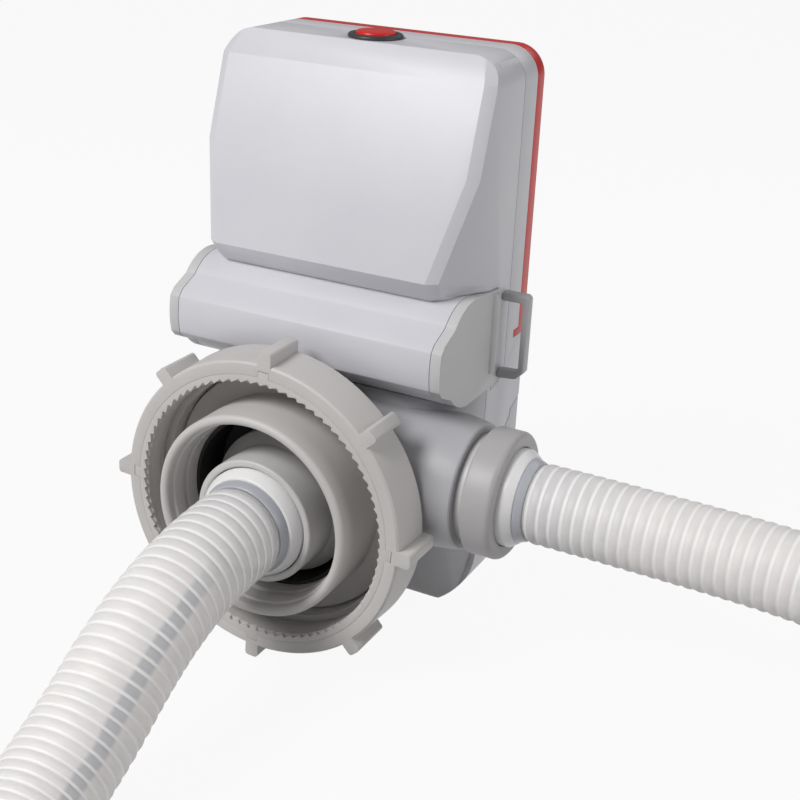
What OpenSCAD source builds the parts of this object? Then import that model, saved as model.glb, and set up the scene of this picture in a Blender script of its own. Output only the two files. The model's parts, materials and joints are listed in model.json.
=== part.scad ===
// Battery transfer pump with a big collar nut, a coaxial suction port and a side outlet.
// Origin: centre of the collar nut's front face. X is to the right, Y to the back, Z up.

/* [Case] */
// Width of the case across its side faces
case_w = 121; // [112:1:130]
// Height of the nut's axis above the base
base_drop = 68; // [68:1:76]
// Height of the case's top above the nut's axis
top_rise = 172; // [160:1:190]
// Depth of the pump head's front face behind the nut's front face
head_y = 46; // [44:1:48]
// Depth of the parting line between pump head and rear shell
joint_y = 77; // [75:1:80]
// Depth of the parting line between front shell and rear shell
seam_y = 93.8; // [92:0.2:96]
// Depth of the case's back face, with the red panel on
back_y = 113; // [110:1:120]
// Depth of the lower back face, where the rear plate sits
low_back_y = 100.2; // [99.6:0.2:102]
// Wall of the shells
wall = 2.6; // [2:0.1:3.2]
// Gap along the parting lines
seam_gap = 0.3; // [0.1:0.1:0.5]
// Radius of the base's lower corners, seen from the front
base_corner_r = 32; // [24:1:36]
// Radius of the top corners, seen from the front
top_corner_r = 12; // [8:1:16]
// Radius of the pump head's upright front corners
head_corner_r = 24; // [18:1:28]
// Radius of the sweep from the pump head's sloping front into the base
foot_r = 20; // [16:1:24]
// Depth at which the flat base starts
foot_y = 88; // [86:1:90]
// Height at which the head's front starts to slope back
brow_z = -5; // [-10:1:0]
// Height of the pump head's front edge, in front of the barrel's underside
head_top = 42.3; // [41:0.1:42.6]

/* [Front shell] */
// Height of the sloping face's lower edge
face_z = 90.7; // [89:0.1:93]
// Depth of the sloping face at its lower edge
face_y = 41.6; // [40:0.2:44]
// Half width of the sloping face at its lower edge
face_half = 47.2; // [45:0.2:49]
// How far the face runs back for each unit of height
face_slope = 0.325; // [0.28:0.005:0.36]
// How much the face's half width grows for each unit of height
face_flare = 0.231; // [0.2:0.005:0.25]
// Width of the bevel strip along the face, sideways
strip_x = 4.4; // [3:0.1:5]
// Depth of the bevel strip along the face
strip_y = 3; // [2:0.1:4]
// Depth at which the flanks meet the side faces
flank_y = 73; // [71:1:76]

/* [Barrel] */
// Depth of the barrel's axis
barrel_y = 57; // [56:0.5:58]
// Height of the barrel's axis
barrel_z = 61.4; // [61:0.1:62]
// Outer radius of the barrel
barrel_r = 21.7; // [21.4:0.1:22]
// Radius of the raised band's crown along the barrel's front
band_r = 34; // [30:1:40]
// How far the band's crown stands in front of the barrel's axis
band_reach = 28.1; // [27:0.1:29]
// Height of the band at its crown
band_h = 18; // [16:0.5:20]
// How much half the band's height grows for each unit of depth
band_spread = 0.45; // [0.4:0.01:0.5]
// Depth of the barrel block's back face
barrel_back_y = 81; // [80.4:0.2:82]
// Thickness of the barrel's end caps
cap_t = 4.5; // [3.5:0.1:6]
// How far the end caps stand out from the side faces
cap_proud = 1; // [0.6:0.1:1.5]
// Wall of the barrel round the battery bore
barrel_wall = 2.7; // [2.2:0.1:3]
// Room between the cells and the battery bore
cell_room = 1.7; // [1.2:0.1:2.4]

/* [Collar nut] */
// Outer radius of the collar nut
nut_r = 62; // [61:0.5:63]
// Depth of the collar nut
nut_depth = 19.5; // [18.5:0.5:21]
// Number of lugs
lug_count = 8; // [6:1:10]
// How far a lug reaches out from the nut
lug_reach = 5.2; // [4:0.1:5.4]
// Width of a lug
lug_w = 5.8; // [4:0.2:7]
// Radius of a lug's corners
lug_round = 1.4; // [0.8:0.1:1.8]
// Turn of the lug pattern from the horizontal
lug_turn = -2.5; // [-10:0.5:10]
// Width of the nut's front rim, outside the snap ring
nut_rim = 5.2; // [4.6:0.1:6]
// Width of the snap ring
ring_w = 3.1; // [2.6:0.1:3.4]
// Thickness of the snap ring
ring_t = 3.4; // [2.8:0.1:4]
// Number of teeth inside the snap ring
tooth_count = 80; // [60:1:90]
// Height of a tooth
tooth_h = 1.3; // [0.8:0.1:1.6]
// Depth of the teeth behind the ring's front face
tooth_t = 1.3; // [0.8:0.1:2]
// Number of locking keys on the snap ring
key_count = 4; // [2:1:8]
// Width of a locking key on the snap ring
key_w = 4.6; // [3.6:0.2:5]
// How far a key reaches out from the snap ring
key_reach = 2.4; // [2:0.1:3.2]
// Depth of the thread groove behind the snap ring's bore
groove_h = 2.2; // [1.8:0.1:2.6]
// Height of the thread ridge in that groove
thread_h = 1.4; // [0.8:0.1:1.6]
// Wall of the nut round the tube's lip
hub_wall = 2.6; // [2:0.1:3]

/* [Centre tube] */
// Outer radius of the centre tube
tube_r = 42.3; // [41.5:0.1:43]
// How far the tube's rim stands in front of the nut
tube_proud = 7; // [5:0.5:9]
// Wall at the tube's rim
tube_wall = 4; // [3.4:0.1:4.4]
// Wall behind the steps in its mouth
tube_back_wall = 5.7; // [5.3:0.1:5.9]
// Depth of the lip that the nut turns behind
lip_y = 20; // [19:0.1:20.6]
// How far that lip reaches out from the tube
lip_h = 9.1; // [8:0.1:9.6]
// Thickness of that lip
lip_t = 2.8; // [2:0.1:3]
// Thickness of the dark liner in the tube
liner_t = 1.4; // [0.8:0.1:1.6]

/* [Suction port] */
// Outer radius of the port's rim
port_r = 25.8; // [25.2:0.1:26.4]
// Wall of the port
port_wall = 3; // [2.6:0.1:3.2]
// How far the port's rim stands in front of the nut
port_proud = 3.3; // [2:0.1:5]
// How far the port and pump axis lies below the nut's axis
port_drop = 3; // [2:0.5:4]
// Bore of the water passage
passage_r = 13; // [12:0.5:14]
// Depth of the front of the pump chamber's wall
chamber_y = 36; // [35:0.5:37]
// Outside diameter of the suction hose
suction_d = 38; // [36:1:38]

/* [Outlet] */
// Depth of the outlet's axis
outlet_y = 48; // [47.5:0.5:49]
// Height of the outlet's axis
outlet_z = 10; // [9:0.5:11]
// Radius of the boss's flange and of the union collar
flange_r = 25.8; // [25.2:0.1:26.4]
// Distance of the flange's outer face from the middle of the case
flange_x = 71.6; // [70.6:0.2:72.6]
// Gap between the flange and the union collar
collar_gap = 4; // [3:0.2:5]
// Length of the union collar
collar_l = 12.4; // [11.6:0.2:13.4]
// Outer radius of the threaded spigot
spigot_r = 22; // [21.6:0.1:22.4]
// Bore of the outlet
outlet_bore_r = 11; // [10:0.5:12]
// Outside diameter of the delivery hose
delivery_d = 32; // [30:1:32]

/* [Pump] */
// Radius of the pump chamber
chamber_r = 32; // [31:0.5:33]
// Depth of the pump chamber
chamber_l = 20; // [19:0.5:21]
// Radius of the impeller
impeller_r = 28; // [25:0.5:29]
// Number of blades
blade_count = 7; // [5:1:9]
// Thickness of a blade
blade_t = 1.8; // [1.4:0.1:2.4]
// Radius of the motor shaft
shaft_r = 3; // [2.6:0.1:3.4]
// Outer radius of the motor can
motor_r = 19; // [18:0.5:21]
// Length of the motor can
motor_l = 27; // [25:0.5:28]

/* [Fittings] */
// Height of the strap loop's lower end
loop_z = 41; // [40:0.5:44]
// Height of the strap loop
loop_h = 37; // [34:0.5:40]
// How far the strap loop reaches out from the side
loop_reach = 11.7; // [10.5:0.1:14]
// Thickness of the loop's upright bar
loop_bar = 2.6; // [2.2:0.1:4]
// Height of the loop's two arms
loop_arm = 3.5; // [3:0.1:5]
// Depth of the loop's front face
loop_y = 86; // [85.4:0.2:88]
// Width of the loop's bars, front to back
loop_w = 5; // [4:0.2:6]
// How wide the red panel's edge shows on the side
panel_edge = 6.4; // [5:0.2:8]
// Height of the red panel's lower end
panel_z = 54; // [50:1:60]
// Radius of the power button
button_r = 8; // [7:0.5:9]
// Travel of the power button
button_travel = 2; // [1.5:0.1:2]
// Depth of the power button's axis
button_y = 84; // [83:0.5:85]

/* [Hidden] */
$fn = 64;

half_w = case_w / 2;
clear = 0.3;
axis_z = -port_drop;

// Front and bottom of the lower case, seen from the side
foot_z = -base_drop + foot_r;
brow_run = foot_y - head_y;
brow_fall = foot_z - brow_z;
brow_len = sqrt(brow_run * brow_run + brow_fall * brow_fall);
brow_angle = atan2(brow_fall, brow_run) - asin(foot_r / brow_len);
foot_steps = 8;

// Where the nut, the lip and the flange behind it lie
lip_y1 = lip_y + lip_t;
lip_r = tube_r + lip_h;
nut_flange_y = lip_y1 + 0.6;
nut_end_y = nut_flange_y + 2.6;
ring_seat_r = nut_r - nut_rim;
ring_bore_r = ring_seat_r - 0.1 - ring_w;
groove_r = ring_bore_r + groove_h;
groove_y0 = 9.5;
groove_y1 = 14.5;
hub_bore_r = lip_r + 0.6;
hub_r = hub_bore_r + hub_wall;
tube_mouth_r = tube_r - tube_wall;
tube_bore_r = tube_r - tube_back_wall;
tube_seat_y = 31;
port_foot_r = tube_bore_r - port_drop - 3.1;
liner_y = 11;

// Where the pump's inner pieces lie along the axis
front_wall_t = 4;
chamber_y0 = chamber_y + front_wall_t;
chamber_y1 = chamber_y0 + chamber_l + 2;
tub_wall = 4;
tub_r = chamber_r + tub_wall;
tub_flange_r = tub_r + 7;
plate_t = 3;
plate_r = tub_r + 5.4;
plate_screw_r = tub_r + 2.6;
bracket_t = 2.4;
bracket_y = chamber_y1 + plate_t;
motor_y = bracket_y + bracket_t;
motor_end_y = motor_y + motor_l;
bell_t = 2.6;
seal_r = 8;
bearing_r = 8;
bearing_t = 4;

// Where the outlet's pieces lie along its axis
collar_x = flange_x + collar_gap;
collar_end = collar_x + collar_l;
cuff_flange_t = 2.2;
collar_lip_t = 2;
cuff_flange_x = collar_end - collar_lip_t - clear - cuff_flange_t;
spigot_end = cuff_flange_x - 1;
cuff_neck_r = 19.6;
cuff_bore_r = 15.5;
hose_bore_r = 13.5;
fitting_bore_r = 10;
hose_x = 97;
boss_x = tube_r + 3;
shank_r = spigot_r - 6;
delivery_r = delivery_d / 2;
suction_r = suction_d / 2;

// Barrel, its caps and what the cells need
barrel_half = half_w + cap_proud - cap_t;
barrel_low = barrel_z - barrel_r;
barrel_high = barrel_z + barrel_r;
head_low = barrel_low - clear;
plate_top = head_low - wall - 0.4;
cap_plug = 3;
cell_bore_r = barrel_r - barrel_wall;
cell_d = (cell_bore_r - cell_room) / (0.5 + sqrt(0.5));
cell_ring = cell_d / sqrt(2) + 0.1;
holder_x = barrel_half - cap_plug;
holder_t = 1.6;
spring_r = 4;
spring_wire = 0.5;
cell_l = holder_x - holder_t - 4.4 * spring_wire;

// Front shell, and its strip behind the barrel
shell_foot_z = barrel_high + 1.1;
shell_foot_y = 44;
strip_front_z = barrel_low - 2.5;
strip_back_z = strip_front_z + 3.8;

// Screws and the circuit board behind the back face
screw_x = half_w - 14.5;
screw_z = [-30, 12];
plate_low = screw_z[0] - 10;
board_half = half_w - 22.5;
board_z = top_rise - 72;
board_h = 50;
board_hole = 4;

// Route of the suction hose, along its middle
suction_route = [
    [0, -12, -3], [0, -30, -4], [0, -50, -7.7], [0.5, -70, -14.3], [1.2, -88, -23],
    [2.2, -106, -33], [3.6, -126, -41.3], [6.3, -146, -46.4], [11, -168, -48.8],
    [18.6, -192, -49], [29, -216, -49], [43, -240, -49], [60, -263, -49], [80, -284, -49],
    [104, -303, -49], [131, -320, -49], [160, -333, -49], [190, -342, -49], [222, -347, -49],
    [256, -349, -49], [290, -349, -49], [318, -349, -49]
];
// Route of the delivery hose as far as its coil, along its middle
delivery_route = [
    [97, 48, 10], [120, 48, 10], [145, 47.5, 10], [170, 46, 10.5], [195, 43.5, 11],
    [218, 41, 10.1], [238, 39.6, 6.3], [260, 39, -2], [282, 39, -15.3], [305, 39, -32.5],
    [330, 39, -44.4], [352, 39, -50.1], [374, 39, -52]
];
coil_centre = [374, -136, -52];
coil_mid_r = 175;
coil_sweep = 290;
fitting_l = 46;
strainer_l = 58;

// Slab of an X-Z outline between two depths
module along_y(y0, y1) {
    translate([0, y1, 0]) rotate([90, 0, 0]) linear_extrude(height = y1 - y0) children();
}

// Slab of a Y-Z outline between two sideways places
module along_x(x0, x1) {
    translate([x0, 0, 0]) rotate([90, 0, 90]) linear_extrude(height = x1 - x0) children();
}

// Revolved about the Y axis: the outline's x is the radius, its y the depth
module turned_y(z = 0) {
    translate([0, 0, z]) rotate([-90, 0, 0]) rotate_extrude($fn = 96) children();
}

// Revolved about the outlet's axis: the outline's x is the radius, its y the distance out
module turned_x() {
    translate([0, outlet_y, outlet_z]) rotate([0, 90, 0]) rotate_extrude($fn = 96) children();
}

module band(r_in, r_out, a, b) {
    translate([r_in, a]) square([r_out - r_in, b - a]);
}

module mirrored_x() {
    children();
    mirror([1, 0, 0]) children();
}

// Whole case seen from the front, pulled in by i
module case_face(i = 0) {
    half = half_w - i;
    base_r = base_corner_r - i;
    top_r = top_corner_r - i;
    low = -base_drop + base_corner_r;
    high = top_rise - top_corner_r;
    translate([-half, low]) square([2 * half, high - low]);
    translate([-half + base_r, -base_drop + i]) square([2 * (half - base_r), high]);
    translate([-half + top_r, 0]) square([2 * (half - top_r), top_rise - i]);
    for (s = [-1, 1]) {
        translate([s * (half - base_r), low]) circle(r = base_r);
        translate([s * (half - top_r), high]) circle(r = top_r);
    }
}

// Front and bottom of the lower case seen from the side, up to depth y1, pulled in by i
module low_side(y0, y1, top, i = 0) {
    r = foot_r - i;
    arc = [for (k = [0 : foot_steps]) let (a = brow_angle + 270 - k * brow_angle / foot_steps)
        [foot_y + r * cos(a), foot_z + r * sin(a)]];
    intersection() {
        polygon(concat(
            [[y1 + 20, top], [head_y + i, top], [head_y + i, brow_z]],
            arc,
            [[y1 + 20, -base_drop + i]]
        ));
        translate([y0, -base_drop]) square([y1 - y0, base_drop + top]);
    }
}

// Outline with rounded front corners, its front edge at i, as deep as given
module rounded_plan(depth, i = 0) {
    r = head_corner_r - i;
    half = half_w - i;
    translate([-half, head_corner_r]) square([2 * half, depth - head_corner_r]);
    translate([-half + r, i]) square([2 * (half - r), depth - i]);
    for (s = [-1, 1]) translate([s * (half - r), head_corner_r]) circle(r = r);
}

// Pump head's block; its corners stay rounded down the sloping front
module head_block(y1, top, i = 0) {
    intersection() {
        along_y(head_y + i, y1) case_face(i);
        along_x(-half_w + i, half_w - i) low_side(head_y + i, y1, top, i);
        translate([0, head_y, -base_drop]) linear_extrude(height = base_drop + top)
            rounded_plan(joint_y + 2 - head_y, i);
        translate([0, head_y, brow_z]) rotate([90 + brow_angle, 0, 0])
            translate([0, 0, -base_drop * 2]) linear_extrude(height = base_drop * 4)
                rounded_plan(case_w, i);
    }
}

// Volute casing: shell, chamber tub and outlet boss in one moulding
module pump_head() {
    boss_r = flange_r + 1.4;
    color([0.72, 0.71, 0.71]) difference() {
        union() {
            difference() {
                head_block(joint_y, head_top);
                head_block(joint_y + 1, head_low - wall, wall);
            }
            turned_y(axis_z) band(0, tub_r, chamber_y, chamber_y1);
            under(head_low)
                turned_y(axis_z) band(0, tub_flange_r + 3, head_y, chamber_y1 + 8);
            turned_x() polygon([[0, boss_x], [boss_r, boss_x], [boss_r, half_w + 1],
                [flange_r, flange_x - 0.6], [flange_r - 0.6, flange_x], [0, flange_x]]);
            intersection() {
                turned_x() band(0, boss_r, boss_x / 2, boss_x + 1);
                translate([0, 0, -base_drop]) cube([half_w, head_y + 1, 2 * base_drop]);
            }
            translate([chamber_r - 10, head_y, axis_z + 1])
                cube([boss_x - chamber_r + 11, chamber_y1 - head_y, 26]);
        }
        turned_y() {
            band(0, tube_r + 0.7, 0, chamber_y);
            band(tub_r + 1, max(tube_r + 0.7, tub_r + port_drop + 0.1), chamber_y - 0.1, head_y);
            band(0, hub_r + 0.7, 0, nut_end_y + 0.7);
        }
        turned_y(axis_z) {
            band(tub_r + 0.1, tub_r + 3.5, chamber_y - 1, head_y);
            band(0, passage_r, chamber_y - 1, chamber_y0 + 1);
            band(0, chamber_r, chamber_y0, chamber_y1 + 1);
            band(tub_r - 1.4, tub_r + 1, chamber_y0 + 0.9, chamber_y0 + 3.1);
        }
        under(head_low - wall)
            turned_y(axis_z) band(0, tub_flange_r + 0.4, chamber_y1, chamber_y1 + 9);
        turned_x() {
            band(0, outlet_bore_r, boss_x + 2, flange_x + 1);
            band(0, shank_r + 0.1, half_w - 2, flange_x + 1);
        }
        translate([chamber_r - 12, head_y + 2, axis_z + 3])
            cube([boss_x - chamber_r + 15, chamber_y1 - head_y - 4, 22]);
        for (k = [0 : 5]) plate_screw_place(k) cylinder(r = 1.4, h = 9, center = true);
        along_x(-half_w - 1, half_w + 1) barrel_face(clear);
    }
}

module under(top) {
    intersection() {
        children();
        translate([-half_w, 0, -base_drop]) cube([case_w, back_y, base_drop + top]);
    }
}

module plate_screw_place(k) {
    a = 60 * k;
    translate([plate_screw_r * cos(a), chamber_y1, axis_z + plate_screw_r * sin(a)])
        rotate([-90, 0, 0]) children();
}

// Closed body through rings of points that all have the same count
module loft(rings) {
    n = len(rings[0]);
    m = len(rings);
    sides = [for (j = [0 : m - 2]) for (k = [0 : n - 1]) for (t = [0, 1])
        let (a = j * n + k, b = j * n + (k + 1) % n, c = a + n, d = b + n)
        t == 0 ? [a, c, b] : [b, c, d]];
    low = [for (k = [0 : n - 1]) k];
    high = [for (k = [n - 1 : -1 : 0]) (m - 1) * n + k];
    polyhedron(points = [for (r = rings) for (p = r) p], faces = concat([low], sides, [high]));
}

// One level of the front shell: face corner, strip edge, flank, seam, then the same mirrored
function shell_ring(z, face, depth, i, back) =
    let (side = min(face + strip_x, half_w) - i, bevel = depth + strip_y + i, right = [
        [face - i, depth + i], [side, bevel], [half_w - i, max(flank_y, bevel + 0.5)],
        [half_w - i, back]
    ])
    concat(
        [for (p = right) [p[0], p[1], z]],
        [for (k = [3 : -1 : 0]) [-right[k][0], right[k][1], z]]
    );

function shell_depth(z) = face_y + (z - face_z) * face_slope;
function shell_half(z) = min(face_half + (z - face_z) * face_flare, half_w - strip_x);

module shell_body(i, back, low) {
    wide_z = face_z + (half_w - face_half - strip_x) / face_flare;
    top_z = top_rise - i;
    bend_z = top_rise - top_corner_r * 0.8;
    loft(concat(
        [shell_ring(low, face_half - 1, shell_foot_y, i, back)],
        [shell_ring(shell_foot_z, face_half - 0.6, face_y + 1.5, i, back)],
        [for (z = [face_z, wide_z, bend_z]) shell_ring(z, shell_half(z), shell_depth(z), i, back)],
        [shell_ring(top_z, shell_half(top_z) - 3, shell_depth(top_z) + 4, i, back)]
    ));
}

// Upper front cover with the sloping face, open at the back and over the barrel
module front_shell() {
    shelf_z = top_rise - 16.4;
    color([0.82, 0.82, 0.85]) difference() {
        union() {
            difference() {
                intersection() {
                    shell_body(0, seam_y, barrel_high - 10);
                    along_y(0, seam_y) case_face();
                }
                shell_body(wall, seam_y + 1, barrel_high - 12);
            }
            difference() {
                along_x(-half_w, half_w)
                    polygon([[barrel_back_y + clear, strip_front_z], [seam_y, strip_back_z],
                        [seam_y, barrel_high + 4], [barrel_back_y + clear, barrel_high + 4]]);
                along_x(-half_w + wall, half_w - wall)
                    translate([barrel_back_y + clear + wall, strip_front_z - 5])
                        square([seam_y, barrel_high]);
            }
            intersection() {
                translate([-12, 60, shelf_z]) cube([24, 34, 2.4]);
                shell_body(wall / 2, seam_y, barrel_high - 10);
            }
        }
        along_x(-half_w - 5, half_w + 5) barrel_face(clear);
        translate([0, button_y, shelf_z + 5]) cylinder(r = button_r + clear, h = 20);
    }
}

// Stepped line between rear shell and rear plate, moved out by g
function plate_line(g) = [
    [low_back_y + g, plate_low - g], [low_back_y + g, 14.6 - g], [low_back_y + 3.4 + g, 17.4 - g],
    [low_back_y + 4.2 + g, 20.6 - g], [back_y, 24.2 - g]
];

// Rear shell seen from the side, with its step round the red panel, pulled in by i
module rear_side(i, y_front, y_seam) {
    step_y = back_y - panel_edge - seam_gap - i;
    step_z = panel_z - seam_gap - i;
    notch_y = barrel_back_y - clear - i;
    line = plate_line(-i);
    polygon(concat(
        [[y_front, -base_drop + i], [low_back_y - i, -base_drop + i]],
        [for (k = [1 : 3]) line[k]],
        [[back_y - i, 24.2 + i], [back_y - i, step_z], [step_y, step_z], [step_y, top_rise - i],
            [y_seam, top_rise - i], [y_seam, strip_back_z - clear - i],
            [notch_y, strip_front_z - clear - i], [notch_y, head_low - i], [y_front, head_low - i]]
    ));
}

module screw_places(y) {
    for (s = [-1, 1], z = screw_z) translate([s * screw_x, y, z]) rotate([-90, 0, 0]) children();
}

module board_places(y) {
    for (s = [-1, 1], z = [board_z + board_hole, board_z + board_h - board_hole])
        translate([s * (board_half - board_hole), y, z]) rotate([-90, 0, 0]) children();
}

module rear_shell() {
    post_y = back_y - panel_edge - seam_gap - wall;
    color([0.78, 0.77, 0.78]) difference() {
        union() {
            difference() {
                intersection() {
                    along_y(joint_y, back_y) case_face();
                    along_x(-half_w, half_w)
                        rear_side(0, joint_y + seam_gap, seam_y + seam_gap);
                    along_x(-half_w, half_w) low_side(joint_y, back_y, top_rise + 1);
                }
                intersection() {
                    along_y(joint_y - 1, back_y) case_face(wall);
                    along_x(-half_w, half_w) rear_side(wall, joint_y - 1, seam_y + seam_gap + wall);
                    along_x(-half_w, half_w) low_side(joint_y - 2, back_y, top_rise + 1, wall);
                }
                intersection() {
                    along_y(seam_y - 1, seam_y + 2 * wall) case_face(wall);
                    along_x(-half_w, half_w) translate([seam_y - 1, strip_back_z + wall])
                        square([2 * wall, top_rise - strip_back_z - 2 * wall]);
                }
            }
            board_places(post_y - 3.6) cylinder(r = 3, h = 4);
            screw_places(low_back_y - wall - 7) cylinder(r = 4, h = 8);
        }
        screw_places(low_back_y - 8) cylinder(r = 1.6, h = 20);
        translate([0, low_back_y - wall - 1, axis_z]) rotate([-90, 0, 0])
            cylinder(r = motor_r + 3, h = wall + 2);
        mirrored_x() translate([half_w - 2.7, back_y - panel_edge - 5.3, panel_z - 0.4])
            cube([6, 6, 3.5]);
    }
}

// Shallow cover over the motor end, screwed on from behind
module rear_plate() {
    y1 = back_y - 0.4;
    color([0.84, 0.84, 0.85]) difference() {
        intersection() {
            along_y(low_back_y, y1) case_face();
            along_x(-half_w, half_w) polygon(concat(plate_line(0.6), [[back_y, plate_low - 0.6]]));
        }
        difference() {
            intersection() {
                along_y(low_back_y - 1, y1 - wall) case_face(wall);
                along_x(-half_w, half_w)
                    polygon(concat(
                        [[low_back_y - 1, plate_low + wall], [low_back_y - 1, 14.6 - wall]],
                        [for (k = [1 : 4]) plate_line(0.6 + wall)[k]],
                        [[back_y, plate_low + wall]]
                    ));
            }
            screw_places(0) cylinder(r = 4.6, h = back_y);
        }
        screw_places(0) cylinder(r = 1.7, h = back_y + 2);
        screw_places(back_y - 3.4) cylinder(r = 3.6, h = 5);
    }
}

// Tray-shaped back panel whose edge and feet show at the sides
module red_panel() {
    color([0.75, 0.13, 0.12]) {
        difference() {
            along_y(back_y - panel_edge, back_y) intersection() {
                case_face();
                translate([-half_w, panel_z]) square([case_w, top_rise]);
            }
            along_y(back_y - panel_edge - 1, back_y - 2.6) intersection() {
                case_face(2.6);
                translate([-half_w, panel_z + 2.6]) square([case_w, top_rise - panel_z - 5.2]);
            }
        }
        mirrored_x() translate([half_w - 2.4, back_y - panel_edge - 5, panel_z])
            cube([2.4, 5, 2.8]);
    }
}

// Barrel and its caps seen from the side, grown by g
module barrel_face(g = 0) {
    band_y = barrel_y - band_reach;
    wedge = [for (q = [[0.9, -1.3], [3.3, 1.4], [band_reach, band_spread * band_reach]])
        [band_y + q[0] - g, band_h / 2 + q[1] + g]];
    translate([barrel_y, barrel_z]) circle(r = barrel_r + g);
    intersection() {
        translate([band_y + band_r, barrel_z]) circle(r = band_r + g);
        translate([0, barrel_z]) polygon(concat(
            [[band_y - 2, wedge[0][1]]], wedge,
            [for (k = [2 : -1 : 0]) [wedge[k][0], -wedge[k][1]]], [[band_y - 2, -wedge[0][1]]]
        ));
    }
    polygon([[barrel_y, barrel_low - g], [barrel_back_y + g - 1.4, barrel_low - g],
        [barrel_back_y + g, barrel_low + 2 - g], [barrel_back_y + g, barrel_high - 2 + g],
        [barrel_y, barrel_high + g]]);
}

module battery_barrel() {
    color([0.80, 0.80, 0.82]) difference() {
        along_x(-barrel_half, barrel_half) barrel_face();
        translate([-half_w, barrel_y, barrel_z]) rotate([0, 90, 0])
            cylinder(r = cell_bore_r, h = case_w, $fn = 96);
    }
}

module end_cap() {
    along_x(barrel_half + clear, half_w + cap_proud) barrel_face();
    translate([barrel_half - cap_plug, barrel_y, barrel_z]) rotate([0, 90, 0])
        cylinder(r = cell_bore_r - 0.2, h = cap_plug + 1, $fn = 96);
    intersection() {
        translate([half_w + cap_proud - 1.4, barrel_back_y - 3.6, barrel_low + 7])
            cylinder(r = 3, h = barrel_high - barrel_low - 10);
        translate([barrel_half + clear, 0, 0]) cube([cap_t + 3, back_y, top_rise]);
    }
}

module end_cap_right() {
    color([0.76, 0.75, 0.75]) end_cap();
}

module end_cap_left() {
    color([0.76, 0.75, 0.75]) mirror([1, 0, 0]) end_cap();
}

// Loop for a strap; both arms stand on the case's right side
module strap_loop() {
    low = loop_z;
    high = loop_z + loop_h;
    out = half_w + loop_reach;
    cut = 3.4;
    color([0.70, 0.70, 0.72]) along_y(loop_y, loop_y + loop_w) difference() {
        polygon([[half_w, low], [out - cut, low + 0.8], [out, low + 0.8 + cut], [out, high - 1.2],
            [out - 1.2, high], [half_w, high]]);
        polygon([[half_w - 1, low + loop_arm], [out - loop_bar - 1, low + loop_arm + 0.6],
            [out - loop_bar, low + loop_arm + 1.6], [out - loop_bar, high - loop_arm - 1],
            [out - loop_bar - 1, high - loop_arm], [half_w - 1, high - loop_arm]]);
    }
}

// Stepped tube in the middle of the nut, with the lip that the nut turns behind
module centre_tube() {
    rim = tube_wall / 2;
    seat_y = tube_seat_y;
    rim_arc = [for (a = [0 : -22.5 : -180])
        [tube_mouth_r + rim + rim * cos(a), -tube_proud + rim + rim * sin(a)]];
    color([0.74, 0.72, 0.71]) difference() {
        union() {
            turned_y() polygon(concat(rim_arc, [
                [tube_mouth_r, -2.8], [tube_mouth_r - 0.8, -2.2], [tube_bore_r + 0.1, 2.6],
                [tube_bore_r + 1.4, 3], [tube_bore_r + 1.4, 4.4], [tube_bore_r, 5],
                [tube_bore_r, seat_y], [tub_r - 3, seat_y], [tub_r - 3, seat_y + 3],
                [tube_r - 1.5, seat_y + 3], [tube_r, seat_y + 1.5], [tube_r, lip_y1],
                [lip_r - 0.6, lip_y1], [lip_r, lip_y1 - 0.6], [lip_r, lip_y + 0.6],
                [lip_r - 0.6, lip_y], [tube_r, lip_y]
            ]));
            turned_y(axis_z) band(tub_r, tub_r + 3.2, seat_y + 2, head_y);
        }
        turned_y(axis_z) band(0, tub_r + 0.6, seat_y - 0.1, head_y + 1);
    }
}

// Dark liner in the tube, closing the space round the port's base
module neck_liner() {
    out = tube_bore_r - 0.1;
    inner = port_foot_r + clear - port_drop - 2;
    foot_y = tube_seat_y - 0.2;
    color([0.08, 0.08, 0.08]) difference() {
        turned_y() polygon([[out - liner_t, liner_y], [out, liner_y], [out, foot_y], [inner, foot_y],
            [inner, foot_y - 3.2], [out - liner_t, foot_y - 3.2]]);
        turned_y(axis_z) band(0, port_foot_r + clear, 10, 40);
    }
}

module neck_seal() {
    color([0.1, 0.1, 0.1]) turned_y(axis_z) translate([tub_r - 0.4, chamber_y0 + 2])
        circle(r = 0.95, $fn = 24);
}

module around_nut(count) {
    for (k = [0 : count - 1]) rotate([0, -lug_turn - 360 / count * k, 0]) children();
}

module lug_outline() {
    tip = nut_r + lug_reach;
    half = lug_w / 2 - lug_round;
    translate([nut_r - 1, -lug_w / 2]) square([lug_reach + 1 - lug_round, lug_w]);
    translate([nut_r - 1, -half]) square([lug_reach + 1, 2 * half]);
    for (s = [-1, 1]) translate([tip - lug_round, s * half]) circle(r = lug_round);
}

// Nut that clamps the pump to a container's neck and turns behind the tube's lip
module collar_nut() {
    ridge_r = groove_r - thread_h;
    ridge_y = (groove_y0 + groove_y1) / 2;
    color([0.74, 0.72, 0.70]) difference() {
        union() {
            turned_y() polygon([
                [ring_seat_r, 0], [nut_r - 0.8, 0], [nut_r, 0.8], [nut_r + 0.7, nut_depth - 0.8],
                [nut_r, nut_depth], [hub_r, nut_depth], [hub_r, nut_end_y],
                [tube_r + 0.7, nut_end_y], [tube_r + 0.7, nut_flange_y], [hub_bore_r, nut_flange_y],
                [hub_bore_r, groove_y1], [groove_r, groove_y1], [groove_r, ridge_y + 1.1],
                [ridge_r, ridge_y + 0.5], [ridge_r, ridge_y - 0.5], [groove_r, ridge_y - 1.1],
                [groove_r, groove_y0], [ring_bore_r, groove_y0], [ring_bore_r, ring_t + 0.1],
                [ring_seat_r, ring_t + 0.1]
            ]);
            around_nut(lug_count) along_y(0, nut_depth) lug_outline();
        }
        around_nut(key_count) translate([ring_seat_r - 1, -1, -key_w / 2 - 0.1])
            cube([key_reach + 1.2, ring_t + 1.1, key_w + 0.2]);
    }
}

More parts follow.
